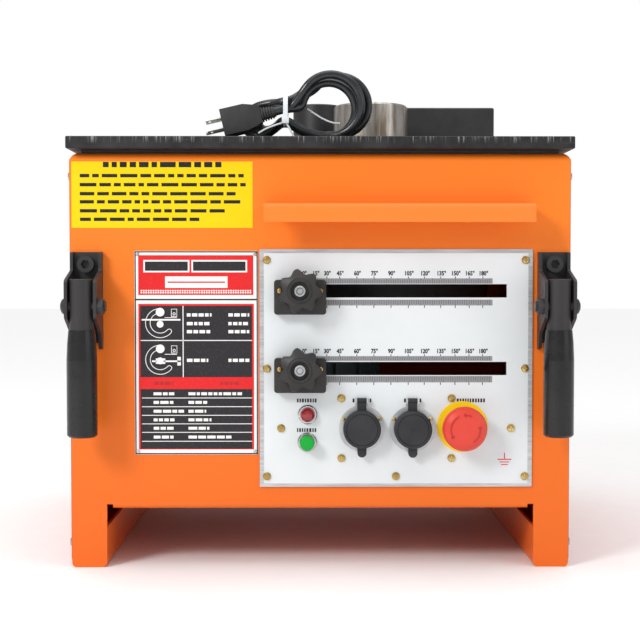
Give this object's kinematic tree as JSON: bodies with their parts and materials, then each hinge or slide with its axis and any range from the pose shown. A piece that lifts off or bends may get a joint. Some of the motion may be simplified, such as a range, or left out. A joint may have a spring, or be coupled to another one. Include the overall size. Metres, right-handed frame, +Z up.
{
  "type": "electric rebar bender",
  "caption": "Bench rebar bender: orange sheet body on channel feet, black worktable with collar, roller in a curved slot and reaction block, control panel and fold-out handles.",
  "frame": {"origin": "centre of the machine's box on the floor, without the cord", "axes": "+Z up, +X to the operator's right, the control panel faces -Y"},
  "size_m": [0.5052, 0.5797, 0.5025],
  "materials": {
    "orange_paint": "glossy powder coat",
    "black_table": "scuffed black steel",
    "black_steel": "satin black",
    "bare_steel": "turned",
    "dark_steel": "black oxide",
    "zinc": "yellow zinc plated",
    "panel_white": "white print on aluminium",
    "plate_print": "printed aluminium",
    "black_plastic": "moulded",
    "rubber": "soft black",
    "vinyl": "dipped vinyl",
    "red_plastic": "gloss",
    "yellow_plastic": "gloss",
    "green_plastic": "gloss",
    "red_lens": "tinted",
    "chrome": "plated",
    "cast_grey": "painted casting",
    "motor_grey": "painted",
    "cord_rubber": "mains lead",
    "nickel": "plated blades"
  },
  "bodies": {
    "machine": {"worktable_plate": "black_table", "table_spacer_frame": "black_steel", "table_bolts": "dark_steel", "front_panel": "orange_paint", "rear_panel": "orange_paint", "side_walls": "orange_paint", "side_covers": "orange_paint", "cover_screws": "zinc", "base_tray": "black_steel", "panel_hood": "orange_paint", "control_panel": "panel_white", "panel_screws": "zinc", "rating_plate": "plate_print", "reaction_block": "dark_steel", "gearbox_housing": "cast_grey", "gearbox_cover": "black_steel", "gearbox_bearings": "bare_steel", "motor_housing": "motor_grey", "electrical_box": "black_steel", "lamp_lens": "red_lens", "switch_bezels": "chrome", "socket_flanges": "chrome", "stop_base": "yellow_plastic", "handle_brackets": "black_steel", "bracket_bolts": "black_steel", "handle_pivots": "black_steel", "cable_gland": "black_plastic", "power_cord": "cord_rubber", "cord_hank": "cord_rubber", "plug_body": "cord_rubber", "plug_blades": "nickel"},
    "turntable": {"main_shaft": "bare_steel", "turntable_disc": "dark_steel", "final_gear": "bare_steel", "bending_pin": "bare_steel"},
    "collar": {"centre_collar": "bare_steel"},
    "roller": {"bending_roller": "dark_steel"},
    "second_shaft": {"second_gear_shaft": "bare_steel"},
    "first_shaft": {"first_gear_shaft": "bare_steel"},
    "rotor": {"motor_rotor": "bare_steel", "motor_fan": "black_plastic"},
    "stop_slide_1": {"angle_slider_1": "black_plastic", "slider_carrier_1": "black_steel"},
    "stop_slide_2": {"angle_slider_2": "black_plastic", "slider_carrier_2": "black_steel"},
    "knob_1": {"star_knob_1": "black_plastic"},
    "knob_2": {"star_knob_2": "black_plastic"},
    "button": {"start_button": "green_plastic"},
    "stem": {"stop_stem": "black_plastic"},
    "mushroom": {"stop_head": "red_plastic"},
    "cap_1": {"socket_cap_1": "rubber"},
    "cap_2": {"socket_cap_2": "rubber"},
    "handle_front_left": {"lever_front_left": "black_steel", "grip_front_left": "vinyl"},
    "handle_front_right": {"lever_front_right": "black_steel", "grip_front_right": "vinyl"},
    "handle_rear_left": {"lever_rear_left": "black_steel", "grip_rear_left": "vinyl"},
    "handle_rear_right": {"lever_rear_right": "black_steel", "grip_rear_right": "vinyl"}
  },
  "joints": [
    {"name": "bending_turn", "type": "hinge", "parent": "machine", "child": "turntable", "pos_m": [0.06, 0.015, 0.428], "axis": [0, 0, 1], "range_deg": [-34, 180]},
    {"name": "collar_spin", "type": "hinge", "parent": "turntable", "child": "collar", "pos_m": [0.06, 0.015, 0.428], "axis": [0, 0, 1], "continuous": true},
    {"name": "roller_spin", "type": "hinge", "parent": "turntable", "child": "roller", "pos_m": [-0.00151, 0.10619, 0.428], "axis": [0, 0, 1], "continuous": true},
    {"name": "second_shaft_turn", "type": "hinge", "parent": "machine", "child": "second_shaft", "pos_m": [-0.084, 0.015, 0.3], "axis": [0, 0, 1], "continuous": true},
    {"name": "first_shaft_turn", "type": "hinge", "parent": "machine", "child": "first_shaft", "pos_m": [-0.084, -0.093, 0.3], "axis": [0, 0, 1], "continuous": true},
    {"name": "motor_turn", "type": "hinge", "parent": "machine", "child": "rotor", "pos_m": [-0.012, -0.093, 0.2], "axis": [0, 0, 1], "continuous": true},
    {"name": "angle_stop_1", "type": "slide", "parent": "machine", "child": "stop_slide_1", "axis": [1, 0, 0], "range_m": [0, 0.183]},
    {"name": "knob_1_turn", "type": "hinge", "parent": "stop_slide_1", "child": "knob_1", "pos_m": [-0.0201, -0.215, 0.2762], "axis": [0, -1, 0], "range_deg": [0, 720]},
    {"name": "angle_stop_2", "type": "slide", "parent": "machine", "child": "stop_slide_2", "axis": [1, 0, 0], "range_m": [0, 0.183]},
    {"name": "knob_2_turn", "type": "hinge", "parent": "stop_slide_2", "child": "knob_2", "pos_m": [-0.0201, -0.215, 0.199], "axis": [0, -1, 0], "range_deg": [0, 720]},
    {"name": "start_press", "type": "slide", "parent": "machine", "child": "button", "axis": [0, 1, 0], "range_m": [0, 0.004], "stiffness_N_per_m": 500},
    {"name": "stop_press", "type": "slide", "parent": "machine", "child": "stem", "axis": [0, 1, 0], "range_m": [0, 0.005]},
    {"name": "stop_twist", "type": "hinge", "parent": "stem", "child": "mushroom", "pos_m": [0.1411, -0.23, 0.1413], "axis": [0, -1, 0], "range_deg": [-35, 0], "stiffness_Nm_per_rad": 0.05},
    {"name": "cap_1_lift", "type": "hinge", "parent": "machine", "child": "cap_1", "pos_m": [0.041, -0.21915, 0.1675], "axis": [-1, 0, 0], "range_deg": [0, 110]},
    {"name": "cap_2_lift", "type": "hinge", "parent": "machine", "child": "cap_2", "pos_m": [0.0914, -0.21915, 0.1672], "axis": [-1, 0, 0], "range_deg": [0, 110]},
    {"name": "handle_front_left_swing", "type": "hinge", "parent": "machine", "child": "handle_front_left", "pos_m": [-0.231, -0.246, 0.2615], "axis": [-1, 0, 0], "range_deg": [0, 90]},
    {"name": "handle_front_right_swing", "type": "hinge", "parent": "machine", "child": "handle_front_right", "pos_m": [0.231, -0.246, 0.2615], "axis": [-1, 0, 0], "range_deg": [0, 90]},
    {"name": "handle_rear_left_swing", "type": "hinge", "parent": "machine", "child": "handle_rear_left", "pos_m": [-0.231, 0.246, 0.2615], "axis": [1, 0, 0], "range_deg": [0, 90]},
    {"name": "handle_rear_right_swing", "type": "hinge", "parent": "machine", "child": "handle_rear_right", "pos_m": [0.231, 0.246, 0.2615], "axis": [1, 0, 0], "range_deg": [0, 90]}
  ],
  "couplings": [
    {"joint": "second_shaft_turn", "follows": "bending_turn", "ratio": -5},
    {"joint": "first_shaft_turn", "follows": "bending_turn", "ratio": 25},
    {"joint": "motor_turn", "follows": "bending_turn", "ratio": -125}
  ]
}
